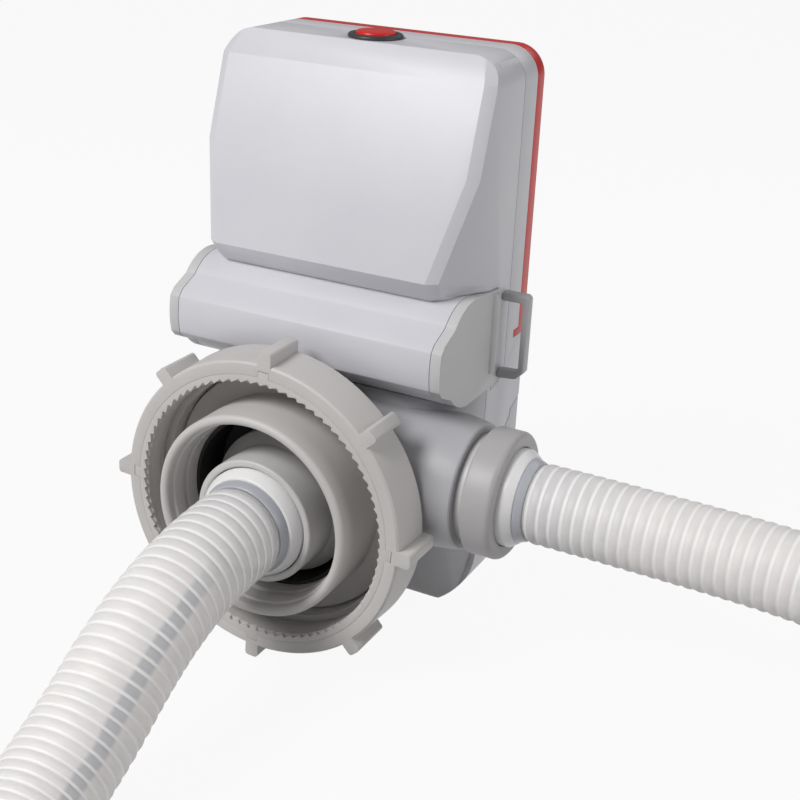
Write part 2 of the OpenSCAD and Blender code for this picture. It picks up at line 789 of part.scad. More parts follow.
// Toothed ring held in the nut's front by its keys
module snap_ring() {
    step = 360 / tooth_count;
    teeth = [for (k = [0 : tooth_count - 1]) for (t = [0, 1])
        let (a = step * (k + 0.8 * t), r = ring_bore_r + (t == 0 ? tooth_h : -0.1))
        [r * cos(a), r * sin(a)]];
    color([0.73, 0.71, 0.69]) difference() {
        union() {
            turned_y() band(ring_bore_r, ring_seat_r - 0.1, 0, ring_t);
            around_nut(key_count) translate([ring_seat_r - 0.5, 0, -key_w / 2])
                cube([key_reach + 0.4, ring_t, key_w]);
        }
        along_y(-1, tooth_t) polygon(teeth);
    }
}

// Suction port on the pump's axis
module suction_port() {
    bore = port_r - port_wall;
    seat = 18.3;
    color([0.72, 0.70, 0.69]) turned_y(axis_z) polygon([
        [bore, 0.6 - port_proud], [bore + 0.6, -port_proud], [port_r - 0.6, -port_proud],
        [port_r, 0.6 - port_proud], [port_r, 14], [port_foot_r, 18], [port_foot_r, chamber_y - 5],
        [tub_r - 2, chamber_y - 3], [tub_r - 2, chamber_y], [20.1, chamber_y],
        [20.1, chamber_y - 1.3], [16.9, chamber_y - 1.3], [16.9, chamber_y], [passage_r, chamber_y],
        [passage_r, seat], [bore, seat]
    ]);
}

module port_seal() {
    color([0.1, 0.1, 0.1]) turned_y(axis_z) band(17, 20, chamber_y - 1.2, chamber_y);
}

// Tapered end moulded on the suction hose, pushed into the port
module suction_cuff() {
    fit_r = port_r - port_wall - 0.4;
    color([0.82, 0.82, 0.83]) turned_y(axis_z) polygon([
        [cuff_bore_r, -8], [suction_r + 1.4, -8], [fit_r - 0.4, -5], [fit_r, -port_proud - 0.3],
        [fit_r, 18], [cuff_bore_r, 18]
    ]);
}

module suction_sleeve() {
    color([0.78, 0.78, 0.79]) turned_y(axis_z) band(cuff_bore_r, suction_r + 0.8, -12, -8);
}

function unit(v) = v / norm(v);

// Halfway points put between the route's own, on a smooth line
function refined(route) =
    let (n = len(route))
    [for (k = [0 : 2 * n - 2])
        let (j = floor(k / 2))
        k % 2 == 0 ? route[j] :
        (9 * (route[j] + route[j + 1]) - route[max(j - 1, 0)] - route[min(j + 2, n - 1)]) / 16];

function heading(line, k, first, last) =
    k == 0 ? first : k == len(line) - 1 ? last : unit(line[k + 1] - line[k - 1]);

// Closed solid round a line that never stands upright
module tube_along(line, r, first, last) {
    n = 12;
    loft([for (k = [0 : len(line) - 1])
        let (t = heading(line, k, first, last), side = unit(cross(t, [0, 0, 1])), up = cross(side, t))
        [for (a = [0 : 360 / n : 359]) line[k] + r * (cos(a) * side + sin(a) * up)]]);
}

module suction_hose() {
    color([0.85, 0.84, 0.83])
        tube_along(refined(suction_route), suction_r - 0.1, [0, -1, 0], [1, 0, 0]);
}

// Slotted strainer at the suction hose's far end, lying along X
module suction_strainer() {
    end = suction_route[len(suction_route) - 1];
    r = suction_r;
    color([0.45, 0.46, 0.48]) translate(end) rotate([0, 90, 0]) difference() {
        rotate_extrude() polygon([
            [15, 0], [r - 1, 0], [r - 1, 9], [r, 10], [r, 14], [r - 1.4, 15], [r - 1.4, strainer_l - 7],
            [r, strainer_l - 6], [r, strainer_l - 3], [r - 3, strainer_l], [0, strainer_l],
            [0, strainer_l - 3], [15, strainer_l - 3]
        ]);
        for (k = [0 : 9]) rotate([0, 0, 36 * k]) translate([12, -1.7, 17])
            cube([10, 3.4, strainer_l - 27]);
    }
}

// Threaded spigot that the union collar is screwed on
module outlet_spigot() {
    color([0.70, 0.69, 0.68]) turned_x() polygon([
        [outlet_bore_r, half_w - 1.7], [shank_r, half_w - 1.7], [shank_r, flange_x],
        [spigot_r, flange_x], [spigot_r, spigot_end], [outlet_bore_r, spigot_end]
    ]);
}

module outlet_seal() {
    color([0.1, 0.1, 0.1]) turned_x() band(13, spigot_r - 1, spigot_end, cuff_flange_x);
}

// Turning collar with a rounded end, holding the delivery cuff's flange
module union_collar() {
    bore = spigot_r + clear;
    round_r = 2.4;
    rounded = [for (a = [0 : 15 : 90])
        [flange_r - 0.1 - round_r + round_r * cos(a), collar_end - round_r + round_r * sin(a)]];
    color([0.74, 0.72, 0.70]) turned_x() polygon(concat([
        [bore, collar_x], [flange_r - 0.7, collar_x], [flange_r - 0.1, collar_x + 0.6]
    ], rounded, [
        [cuff_neck_r + 0.4, collar_end], [cuff_neck_r + 0.4, collar_end - collar_lip_t],
        [bore, collar_end - collar_lip_t]
    ]));
}

module delivery_cuff() {
    flange_end = cuff_flange_x + cuff_flange_t;
    color([0.82, 0.82, 0.83]) turned_x() polygon([
        [hose_bore_r, cuff_flange_x], [spigot_r - 0.2, cuff_flange_x], [spigot_r - 0.2, flange_end],
        [cuff_neck_r, flange_end], [cuff_neck_r, collar_end + 2.5],
        [delivery_r + 1.4, collar_end + 5.5], [hose_bore_r, collar_end + 5.5]
    ]);
}

module delivery_sleeve() {
    color([0.78, 0.78, 0.79]) turned_x() band(hose_bore_r, delivery_r + 1, collar_end + 5.5, hose_x);
}

module delivery_hose() {
    color([0.85, 0.84, 0.83])
        tube_along(refined(delivery_route), delivery_r - 0.1, [1, 0, 0], [1, 0, 0]);
}

// Rest of the delivery hose, wound once on the floor
module delivery_coil() {
    color([0.85, 0.84, 0.83]) translate(coil_centre) rotate([0, 0, 90 - coil_sweep])
        rotate_extrude(angle = coil_sweep, $fn = 96)
            translate([coil_mid_r, 0]) circle(r = delivery_r, $fn = 32);
}

// Plain end fitting on the coil's free end
module delivery_fitting() {
    a = 90 - coil_sweep;
    r = delivery_r;
    color([0.74, 0.72, 0.70]) translate(coil_centre)
        translate([coil_mid_r * cos(a), coil_mid_r * sin(a), 0]) rotate([90, 0, a]) rotate_extrude()
            polygon([[fitting_bore_r, 0], [r, 0], [r, 12], [r - 1.6, 13], [r - 1.6, 17], [r, 18], [r, 22],
                [r - 2, 24], [r - 2, fitting_l - 2], [r - 4, fitting_l], [fitting_bore_r, fitting_l]]);
}

// Seven swept blades on a back disc
module impeller() {
    disc_y = chamber_y0 + 14.5;
    blade_y = chamber_y0 + 2.5;
    color([0.62, 0.63, 0.66]) {
        turned_y(axis_z) polygon([[0, blade_y - 0.5], [4, blade_y - 0.5], [7, blade_y + 2],
            [7, disc_y + 2.5], [shaft_r, disc_y + 2.5], [shaft_r, blade_y + 1.5], [0, blade_y + 1.5]]);
        turned_y(axis_z) band(6.5, impeller_r, disc_y, disc_y + 2);
        for (k = [0 : blade_count - 1]) translate([0, 0, axis_z]) rotate([0, 360 / blade_count * k, 0])
            along_y(blade_y, disc_y + 0.5) blade_outline();
    }
}

module blade_outline() {
    intersection() {
        difference() {
            translate([0, 18]) circle(r = 20);
            translate([0, 18]) circle(r = 20 - blade_t);
        }
        difference() {
            circle(r = impeller_r - 0.5);
            circle(r = 6);
        }
        translate([0, -40]) square([40, 80]);
    }
}

module motor_shaft() {
    color([0.75, 0.76, 0.78]) turned_y(axis_z) band(0, shaft_r, chamber_y0 + 4, motor_end_y + 4.6);
}

// Armature with its commutator
module motor_armature() {
    color([0.60, 0.40, 0.25]) difference() {
        turned_y(axis_z) polygon([[shaft_r, motor_y + 6], [13.8, motor_y + 6], [13.8, motor_y + 23.4],
            [6.4, motor_y + 23.4], [6.4, motor_y + 26.4], [shaft_r, motor_y + 26.4]]);
        for (k = [0 : 4]) translate([0, 0, axis_z]) rotate([0, 72 * k, 0])
            translate([12.6, motor_y, 0]) rotate([-90, 0, 0]) cylinder(r = 2, h = 23.4);
    }
}

module shaft_seal() {
    color([0.1, 0.1, 0.1]) turned_y(axis_z) band(shaft_r + 0.05, seal_r, chamber_y1 - 3.7, chamber_y1 + 1);
}

// Wall behind the pump chamber, with the shaft seal's seat
module chamber_plate() {
    color([0.55, 0.56, 0.58]) difference() {
        intersection() {
            turned_y(axis_z) polygon([
                [shaft_r + 1, chamber_y1 + 1], [seal_r, chamber_y1 + 1], [seal_r, chamber_y1 - 4],
                [11, chamber_y1 - 4], [11, chamber_y1], [plate_r, chamber_y1], [plate_r, bracket_y],
                [shaft_r + 1, bracket_y]
            ]);
            translate([-plate_r, chamber_y1 - 5, -base_drop])
                cube([2 * plate_r, 20, base_drop + plate_top]);
        }
        for (k = [0 : 5]) plate_screw_place(k) cylinder(r = 1.4, h = 9, center = true);
    }
}

module plate_screws() {
    color([0.6, 0.6, 0.62]) for (k = [0 : 5]) plate_screw_place(k) {
        translate([0, 0, -4.4]) cylinder(r = 1.3, h = plate_t + 5);
        translate([0, 0, plate_t]) cylinder(r = 2.4, h = 1.9);
    }
}

module motor_bracket() {
    color([0.6, 0.61, 0.63]) turned_y(axis_z) band(bearing_r - 1, chamber_r - 2, bracket_y, motor_y);
}

module motor_can() {
    y0 = motor_y;
    color([0.70, 0.71, 0.73]) turned_y(axis_z) polygon([
        [bearing_r, y0], [motor_r, y0], [motor_r, motor_end_y], [motor_r - 1.6, motor_end_y],
        [motor_r - 1.6, y0 + 2], [10, y0 + 2], [10, y0 + 4.8], [shaft_r + 1.2, y0 + 4.8],
        [shaft_r + 1.2, y0 + bearing_t], [bearing_r, y0 + bearing_t]
    ]);
}

module motor_magnets() {
    color([0.25, 0.25, 0.27]) difference() {
        turned_y(axis_z) band(14.5, motor_r - 1.6, motor_y + 6.6, motor_y + 22.6);
        translate([-6, motor_y, axis_z - motor_r]) cube([12, motor_l, 2 * motor_r]);
    }
}

module motor_end_bell() {
    y0 = motor_end_y;
    color([0.20, 0.20, 0.22]) turned_y(axis_z) polygon([
        [shaft_r + 1.2, y0], [motor_r, y0], [motor_r, y0 + bell_t], [10, y0 + bell_t], [10, y0 + 5],
        [bearing_r, y0 + 5], [bearing_r, y0 + 0.9], [shaft_r + 1.2, y0 + 0.9]
    ]);
}

module front_bearing() {
    color([0.75, 0.76, 0.78]) turned_y(axis_z) band(shaft_r + 0.05, bearing_r, motor_y, motor_y + bearing_t);
}

module rear_bearing() {
    y0 = motor_end_y + 0.9;
    color([0.75, 0.76, 0.78]) turned_y(axis_z) band(shaft_r + 0.05, bearing_r, y0, y0 + bearing_t);
}

module barrel_axis() {
    translate([0, barrel_y, barrel_z]) rotate([0, 90, 0]) children();
}

// Four rows of two cells, end to end
module battery_cells() {
    color([0.25, 0.45, 0.30]) barrel_axis() for (k = [0 : 3], s = [0, 1])
        rotate([0, 0, 45 + 90 * k]) translate([cell_ring, 0, s == 0 ? -cell_l : 0]) {
            cylinder(d = cell_d, h = cell_l - 1.1);
            cylinder(r = 2.7, h = cell_l - 0.1);
        }
}

module cell_holders() {
    color([0.16, 0.16, 0.17]) barrel_axis() {
        for (s = [-holder_x, holder_x - holder_t]) translate([0, 0, s])
            cylinder(r = cell_bore_r - 0.4, h = holder_t);
        translate([0, 0, -holder_x]) cylinder(r = 2.6, h = 2 * holder_x);
    }
}

module contact_springs() {
    first = cell_l + spring_wire + 0.05;
    color([0.80, 0.78, 0.70]) barrel_axis() for (k = [0 : 3], s = [-1, 1], t = [0, 1])
        rotate([0, 0, 45 + 90 * k]) translate([cell_ring, 0, s * (first + 1.1 * t)])
            rotate_extrude($fn = 32) translate([spring_r, 0]) circle(r = spring_wire, $fn = 16);
}

module circuit_board() {
    y1 = back_y - panel_edge - seam_gap - wall - 3.6;
    color([0.10, 0.35, 0.20]) {
        difference() {
            translate([-board_half, y1 - 1.6, board_z]) cube([2 * board_half, 1.6, board_h]);
            board_places(y1 - 3) cylinder(r = 1.3, h = 6);
        }
        translate([-24, y1 - 9.6, board_z + 12]) cube([16, 8, 20]);
        translate([10, y1 - 7.6, board_z + 8]) cube([18, 6, 8]);
    }
}

module switch_body() {
    color([0.12, 0.12, 0.13]) translate([-6, button_y - 6, top_rise - 14]) cube([12, 12, 6.2]);
}

// Push button with the flange that keeps it in
module power_button() {
    low = top_rise - 5.5;
    color([0.75, 0.13, 0.12]) translate([0, button_y, 0]) rotate_extrude() polygon([
        [0, low], [button_r, low], [button_r, low + 1], [button_r + 1.8, low + 1],
        [button_r + 1.8, low + 2.6], [button_r, low + 2.6], [button_r, top_rise + 2],
        [button_r - 0.6, top_rise + 2.6], [0, top_rise + 2.6]
    ]);
}

module button_bezel() {
    color([0.20, 0.20, 0.22]) translate([0, button_y, 0]) rotate_extrude() polygon([
        [button_r + clear, top_rise], [button_r + 3, top_rise], [button_r + 3, top_rise + 1],
        [button_r + 2.4, top_rise + 1.6], [button_r + clear, top_rise + 1.6]
    ]);
}

module case_screws() {
    color([0.6, 0.6, 0.62]) screw_places(back_y - 3.4) {
        translate([0, 0, -13]) cylinder(r = 1.5, h = 14);
        cylinder(r = 3.3, h = 1.9);
    }
}

pump_head();
front_shell();
rear_shell();
rear_plate();
red_panel();
battery_barrel();
end_cap_left();
end_cap_right();
strap_loop();
centre_tube();
neck_seal();
neck_liner();
collar_nut();
snap_ring();
suction_port();
port_seal();
suction_cuff();
suction_sleeve();
suction_hose();
suction_strainer();
outlet_spigot();
outlet_seal();
union_collar();
delivery_cuff();
delivery_sleeve();
delivery_hose();
delivery_coil();
delivery_fitting();
impeller();
motor_shaft();
motor_armature();
shaft_seal();
chamber_plate();
plate_screws();
motor_bracket();
motor_can();
motor_magnets();
motor_end_bell();
front_bearing();
rear_bearing();
battery_cells();
cell_holders();
contact_springs();
circuit_board();
switch_body();
power_button();
button_bezel();
case_screws();
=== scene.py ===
import json
import math

import bmesh
import bpy
from mathutils import Matrix, Vector


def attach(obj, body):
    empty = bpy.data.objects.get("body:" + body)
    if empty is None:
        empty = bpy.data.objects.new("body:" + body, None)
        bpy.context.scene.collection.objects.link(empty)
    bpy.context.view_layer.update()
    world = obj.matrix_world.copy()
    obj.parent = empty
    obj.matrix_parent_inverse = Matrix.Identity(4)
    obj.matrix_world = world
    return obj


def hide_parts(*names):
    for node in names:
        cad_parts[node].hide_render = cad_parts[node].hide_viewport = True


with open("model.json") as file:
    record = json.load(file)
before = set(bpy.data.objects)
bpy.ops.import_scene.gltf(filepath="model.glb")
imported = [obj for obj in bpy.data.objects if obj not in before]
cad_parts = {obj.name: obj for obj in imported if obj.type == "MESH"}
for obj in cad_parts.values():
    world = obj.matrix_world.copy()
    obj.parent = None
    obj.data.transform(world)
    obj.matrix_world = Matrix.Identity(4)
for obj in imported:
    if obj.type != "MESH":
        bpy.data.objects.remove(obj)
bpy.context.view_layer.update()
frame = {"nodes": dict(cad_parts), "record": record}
nodes = frame["nodes"]
bodyOfNode = {n: b for b, members in frame["record"]["behaviour"]["bodies"].items() for n in members}
slotOfNode = {s["node"]: s["material_slot"] for s in frame["record"]["subparts"]}
print("frame loaded:", len(nodes), "nodes")


# Camera at the photograph's angle
cameraValues = {
    "eye": (0.2609, -0.3996, 0.2519),
    "azimuth": 26.685,
    "elevation": 23.046,
    "roll": 2.59,
    "lens": 61.704,
    "sensor": 36,
    "nearest": 0.01,
    "farthest": 20,
}


def makeCamera(v):
    turn, rise, roll = (math.radians(v[k]) for k in ("azimuth", "elevation", "roll"))
    back = Vector((math.sin(turn) * math.cos(rise), -math.cos(turn) * math.cos(rise), math.sin(rise)))
    level = Vector((math.cos(turn), math.sin(turn), 0))
    over = back.cross(level)
    right = level * math.cos(roll) + over * math.sin(roll)
    up = over * math.cos(roll) - level * math.sin(roll)
    data = bpy.data.cameras.new("camera")
    data.lens = v["lens"]
    data.sensor_width = v["sensor"]
    data.clip_start = v["nearest"]
    data.clip_end = v["farthest"]
    camera = bpy.data.objects.new("camera", data)
    camera.matrix_world = Matrix((
        (right.x, up.x, back.x, v["eye"][0]),
        (right.y, up.y, back.y, v["eye"][1]),
        (right.z, up.z, back.z, v["eye"][2]),
        (0, 0, 0, 1),
    ))
    bpy.context.scene.collection.objects.link(camera)
    bpy.context.scene.camera = camera


makeCamera(cameraValues)
print("camera placed")


# Hoses, along the same points as the CAD's own, in metres
suctionValues = {
    "route": [
        (0, -0.012, -0.003), (0, -0.03, -0.004), (0, -0.05, -0.0077), (0.0005, -0.07, -0.0143),
        (0.0012, -0.088, -0.023), (0.0022, -0.106, -0.033), (0.0036, -0.126, -0.0413),
        (0.0063, -0.146, -0.0464), (0.011, -0.168, -0.0488), (0.0186, -0.192, -0.049),
        (0.029, -0.216, -0.049), (0.043, -0.24, -0.049), (0.06, -0.263, -0.049), (0.08, -0.284, -0.049),
        (0.104, -0.303, -0.049), (0.131, -0.32, -0.049), (0.16, -0.333, -0.049), (0.19, -0.342, -0.049),
        (0.222, -0.347, -0.049), (0.256, -0.349, -0.049), (0.29, -0.349, -0.049), (0.318, -0.349, -0.049),
    ],
    "first": (0, -1, 0),
    "last": (1, 0, 0),
    "radius": 0.0189,
    "ribDepth": 0.0009,
    "ribPitch": 0.0047,
    "ribFullness": 0.55,  # below 1 the ribs are broad and the grooves narrow
    "ringsPerRib": 8,
    "plainBand": 0.001,
    "plainTail": 0.004,
    "sides": 40,
    "length": 0.557,
}
deliveryValues = {
    "route": [
        (0.097, 0.048, 0.01), (0.12, 0.048, 0.01), (0.145, 0.0475, 0.01), (0.17, 0.046, 0.0105),
        (0.195, 0.0435, 0.011), (0.218, 0.041, 0.0101), (0.238, 0.0396, 0.0063), (0.26, 0.039, -0.002),
        (0.282, 0.039, -0.0153), (0.305, 0.039, -0.0325), (0.33, 0.039, -0.0444), (0.352, 0.039, -0.0501),
        (0.374, 0.039, -0.052),
    ],
    "first": (1, 0, 0),
    "coilCentre": (0.374, -0.136, -0.052),
    "coilRadius": 0.175,
    "coilSweep": 290,
    "radius": 0.0159,
    "ribDepth": 0.0008,
    "ribPitch": 0.0047,
    "ribFullness": 0.55,
    "ringsPerRib": 8,
    "plainBand": 0.0015,
    "plainTail": 0.004,
    "sides": 36,
    "length": 1.178,
}


# Halves the spans of a route: each new point is pulled out by the points on either side of its span
def refined(route):
    n = len(route)
    line = []
    for k in range(2 * n - 1):
        j = k // 2
        if k % 2 == 0:
            line.append(Vector(route[j]))
        else:
            inner = Vector(route[j]) + Vector(route[j + 1])
            outer = Vector(route[max(j - 1, 0)]) + Vector(route[min(j + 2, n - 1)])
            line.append((inner * 9 - outer) / 16)
    return line


def smoothLine(route, parts=6):
    pts = refined(route)
    line = []
    for j in range(len(pts) - 1):
        before = pts[j - 1] if j else pts[0] * 2 - pts[1]
        after = pts[j + 2] if j + 2 < len(pts) else pts[-1] * 2 - pts[-2]
        for k in range(parts):
            t = k / parts
            line.append(0.5 * (
                2 * pts[j] + (pts[j + 1] - before) * t
                + (2 * before - 5 * pts[j] + 4 * pts[j + 1] - after) * t * t
                + (3 * pts[j] - before - 3 * pts[j + 1] + after) * t ** 3
            ))
    line.append(pts[-1])
    return line


def coilLine(v, steps=140):
    centre = Vector(v["coilCentre"])
    return [
        centre + v["coilRadius"] * Vector((
            math.cos(math.radians(90 - v["coilSweep"] * k / steps)),
            math.sin(math.radians(90 - v["coilSweep"] * k / steps)), 0,
        ))
        for k in range(1, steps + 1)
    ]


# Points a step apart along a line, and how far along each is; a short last step joins the one before
def evenlySpaced(line, step, leastShare=0.3):
    out, marks, walked, due = [line[0]], [0.0], 0.0, step
    for a, b in zip(line, line[1:]):
        span = (b - a).length
        while span > 0 and due <= walked + span:
            out.append(a.lerp(b, (due - walked) / span))
            marks.append(due)
            due += step
        walked += span
    if walked - marks[-1] > step * leastShare:
        out.append(line[-1])
        marks.append(walked)
    else:
        out[-1] = line[-1]
    return out, marks


def flipIfInward(piece):
    shape = bmesh.new()
    shape.from_mesh(piece.data)
    if shape.calc_volume(signed=True) < 0:
        bmesh.ops.reverse_faces(shape, faces=shape.faces[:])
    shape.to_mesh(piece.data)
    shape.free()


# A hose as rings of points, and every fourth middle point as its path
def ribbedHose(name, line, v, last):
    points, marks = evenlySpaced(line, v["ribPitch"] / v["ringsPerRib"])
    total = marks[-1]
    sides = v["sides"]
    verts, faces, uvs = [], [], []
    for k, (p, s) in enumerate(zip(points, marks)):
        if k == 0:
            t = Vector(v["first"])
        elif k == len(points) - 1:
            t = Vector(last)
        else:
            t = (points[k + 1] - points[k - 1]).normalized()
        side = t.cross(Vector((0, 0, 1))).normalized()
        up = side.cross(t)
        bulge = abs(math.sin(math.pi * (s - v["plainBand"]) / v["ribPitch"])) ** v["ribFullness"]
        ribbed = v["plainBand"] <= s <= total - v["plainTail"]
        r = v["radius"] - v["ribDepth"] * (1 - bulge if ribbed else 1)
        for a in range(sides):
            angle = 2 * math.pi * a / sides
            verts.append(p + side * (r * math.cos(angle)) + up * (r * math.sin(angle)))
    ribs = [(s - v["plainBand"]) / v["ribPitch"] for s in marks]
    for k in range(len(points) - 1):
        for a in range(sides):
            b = (a + 1) % sides
            faces.append((k * sides + a, k * sides + b, (k + 1) * sides + b, (k + 1) * sides + a))
            u0, u1 = a / sides, (a + 1) / sides
            uvs += [(u0, ribs[k]), (u1, ribs[k]), (u1, ribs[k + 1]), (u0, ribs[k + 1])]
    faces.append(tuple(range(sides - 1, -1, -1)))
    uvs += [(0, 0)] * sides
    end = (len(points) - 1) * sides
    faces.append(tuple(end + a for a in range(sides)))
    uvs += [(0, 0)] * sides
    mesh = bpy.data.meshes.new(name)
    mesh.from_pydata(verts, [], faces)
    layer = mesh.uv_layers.new(name="alongHose")
    for loop, uv in zip(layer.data, uvs):
        loop.uv = uv
    mesh.polygons.foreach_set("use_smooth", [True] * (len(faces) - 2) + [False] * 2)
    hose = bpy.data.objects.new(name, mesh)
    bpy.context.scene.collection.objects.link(hose)
    flipIfInward(hose)
    print(name, "length", round(total, 4))
    return hose, points[::4] + [points[-1]]


suctionHose, suctionPath = ribbedHose(
    "suction_hose_tube", smoothLine(suctionValues["route"]), suctionValues, suctionValues["last"])
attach(suctionHose, "case")
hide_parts("suction_hose")

coilEnd = math.radians(90 - deliveryValues["coilSweep"])
deliveryHose, deliveryPath = ribbedHose(
    "delivery_hose_tube", smoothLine(deliveryValues["route"]) + coilLine(deliveryValues), deliveryValues,
    (math.sin(coilEnd), -math.cos(coilEnd), 0))
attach(deliveryHose, "case")
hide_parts("delivery_hose", "delivery_coil")
print("hoses laid")


# Shader maths as expressions: a Wire is one output, and sums of wires add Math nodes
class Wire:
    def __init__(self, recipe, socket):
        self.recipe = recipe
        self.socket = socket

    def withMath(self, operation, *others, swap=False):
        order = [self, *others]
        if swap:
            order.reverse()
        return self.recipe.add("ShaderNodeMath", {"operation": operation}, *order)

    def __add__(self, other):
        return self.withMath("ADD", other)

    def __sub__(self, other):
        return self.withMath("SUBTRACT", other)

    def __rsub__(self, other):
        return self.withMath("SUBTRACT", other, swap=True)

    def __mul__(self, other):
        return self.withMath("MULTIPLY", other)

    __radd__ = __add__
    __rmul__ = __mul__


# The node tree of one material or world; its add method makes every node
class Recipe:
    def __init__(self, owner):
        owner.use_nodes = True
        self.owner = owner
        self.tree = owner.node_tree
        self.shader = self.tree.nodes.get("Principled BSDF")

    def add(self, kind, settings=None, *values, out=0, **named):
        node = self.tree.nodes.new(kind)
        for key, value in (settings or {}).items():
            setattr(node, key, value)
        for k, value in enumerate(values):
            self.plug(node.inputs[k], value)
        for key, value in named.items():
            self.plug(node.inputs[key], value)
        return Wire(self, node.outputs[out])

    # Links a wire, or sets a value; a colour comes as three numbers, and nothing is done for None
    def plug(self, socket, value):
        if isinstance(value, Wire):
            self.tree.links.new(value.socket, socket)
        elif value is not None:
            socket.default_value = (*value, 1) if socket.type == "RGBA" else value

    def stretch(self, spot, scale):
        return self.add("ShaderNodeMapping", None, spot, Scale=scale)

    def place(self, scale=(1, 1, 1)):
        return self.stretch(self.add("ShaderNodeTexCoord", out="Object"), scale)

    def noise(self, spot, scale, detail=3.0, roughness=0.5):
        return self.add("ShaderNodeTexNoise", None, Vector=spot, Scale=scale, Detail=detail,
                        Roughness=roughness, out="Fac")

    def spread(self, value, low, high, least=0.0, most=1.0):
        return self.add("ShaderNodeMapRange", {"clamp": True}, value, low, high, least, most)

    def mixColours(self, factor, first, second):
        otherKinds = [None] * 5  # the sockets that a Mix node keeps for numbers and vectors
        return self.add("ShaderNodeMix", {"data_type": "RGBA"}, factor, *otherKinds, first, second, out=2)

    def bump(self, height, strength, distance):
        return self.add("ShaderNodeBump", None, Strength=strength, Distance=distance, Height=height)

    def finish(self, **inputs):
        for key, value in inputs.items():
            self.plug(self.shader.inputs[key.replace("_", " ")], value)
        return self.owner


# Linear colour from an sRGB colour of 0 to 255
def linear(colour):
    shares = [c / 255 for c in colour]
    return tuple(s / 12.92 if s <= 0.04045 else ((s + 0.055) / 1.055) ** 2.4 for s in shares)


plasticValues = {
    "cloudScale": 24,
    "cloudShare": 0.7,
    "flowScale": 9,
    "flowStretch": (1, 1, 5),
    "grainScale": 2600,
    "grainDepth": 0.0001,
    "scuffScale": 12,
    "scuffStretch": (40, 6, 90),
    "scuffFrom": 0.60,
    "scuffTo": 0.74,
    "scuffRoughness": 0.12,
    "roughnessSpread": 0.05,
    "ior": 1.48,
}


# Satin moulded plastic: faint flow clouds, a fine grain and thin handling scuffs
def mouldedPlastic(name, colour, deep, roughness, grain=0.25):
    v = plasticValues
    m = Recipe(bpy.data.materials.new(name))
    spot = m.place()
    clouds = m.spread(m.noise(spot, v["cloudScale"], detail=4, roughness=0.55), 0.3, 0.7)
    flow = m.noise(m.place(v["flowStretch"]), v["flowScale"], detail=2)
    depth = clouds * v["cloudShare"] + flow * (1 - v["cloudShare"])
    tint = m.mixColours(depth, linear(deep), linear(colour))
    fine = m.noise(spot, v["grainScale"], detail=2, roughness=0.6)
    scuffs = m.noise(m.place(v["scuffStretch"]), v["scuffScale"], detail=5, roughness=0.7)
    scuffs = m.spread(scuffs, v["scuffFrom"], v["scuffTo"])
    smoothest, roughest = roughness - v["roughnessSpread"], roughness + v["roughnessSpread"]
    rough = m.spread(fine, 0, 1, smoothest, roughest) + scuffs * v["scuffRoughness"]
    normal = m.bump(fine, grain, v["grainDepth"])
    return m.finish(Base_Color=tint, Roughness=rough, Normal=normal, IOR=v["ior"])


# By record slot: name, colour, deeper colour, roughness and strength of the grain
plasticFinishes = {
    "shell_plastic": ("shellPlastic", (212, 211, 216), (205, 204, 210), 0.40),
    # The head's grey is set below the shell's, partly as painted shade for the nut's shadow and the dim
    # light under the barrel
    "head_plastic": ("headPlastic", (180, 179, 183), (172, 171, 175), 0.42),
    "cap_plastic": ("capPlastic", (202, 201, 202), (194, 193, 194), 0.44),
    "red_plastic": ("redPlastic", (214, 32, 30), (198, 22, 22), 0.35),
    "nut_plastic": ("nutPlastic", (202, 199, 197), (194, 191, 189), 0.46, 0.35),
    "port_plastic": ("portPlastic", (204, 202, 201), (196, 194, 193), 0.42),
    "cuff_plastic": ("cuffPlastic", (238, 237, 237), (232, 231, 231), 0.34, 0.1),
    "dark_plastic": ("darkPlastic", (58, 59, 62), (44, 45, 48), 0.4),
    "seal_rubber": ("sealRubber", (34, 34, 34), (24, 24, 24), 0.7),
    "impeller_plastic": ("impellerPlastic", (120, 122, 126), (102, 104, 108), 0.42),
    "cell_wrap": ("cellWrap", (70, 120, 86), (54, 98, 70), 0.3, 0.05),
    "board": ("lacqueredBoard", (40, 110, 70), (28, 86, 54), 0.3),
}
materials = {slot: mouldedPlastic(*finish) for slot, finish in plasticFinishes.items()}

# Pieces whose finish differs from their slot's
clearSleeve = mouldedPlastic("clearSleeve", (182, 184, 191), (172, 174, 181), 0.24, 0.05)
ownFinish = {
    "suction_sleeve": clearSleeve,
    "delivery_sleeve": clearSleeve,
    "union_collar": mouldedPlastic("unionPlastic", (180, 177, 179), (172, 169, 171), 0.44, 0.3),
    "strap_loop": mouldedPlastic("loopPlastic", (188, 187, 190), (181, 180, 183), 0.42),
}


metalValues = {
    "markScale": 420,
    "markShare": 0.4,
    "markStrength": 0.15,
    "markDepth": 0.00005,
    "cloudScale": 30,
    "smoother": 0.08,
    "rougher": 0.1,
}


# Metal with drawn or turned marks along one way
def workedMetal(name, colour, deep, roughness, stretch=(1, 1, 1), metallic=1.0):
    v = metalValues
    m = Recipe(bpy.data.materials.new(name))
    marks = m.noise(m.place(stretch), v["markScale"], detail=4, roughness=0.6)
    cloud = m.noise(m.place(), v["cloudScale"])
    tint = m.mixColours(cloud * (1 - v["markShare"]) + marks * v["markShare"], deep, colour)
    rough = m.spread(marks, 0, 1, roughness - v["smoother"], roughness + v["rougher"])
    normal = m.bump(marks, v["markStrength"], v["markDepth"])
    return m.finish(Base_Color=tint, Roughness=rough, Metallic=metallic, Normal=normal)


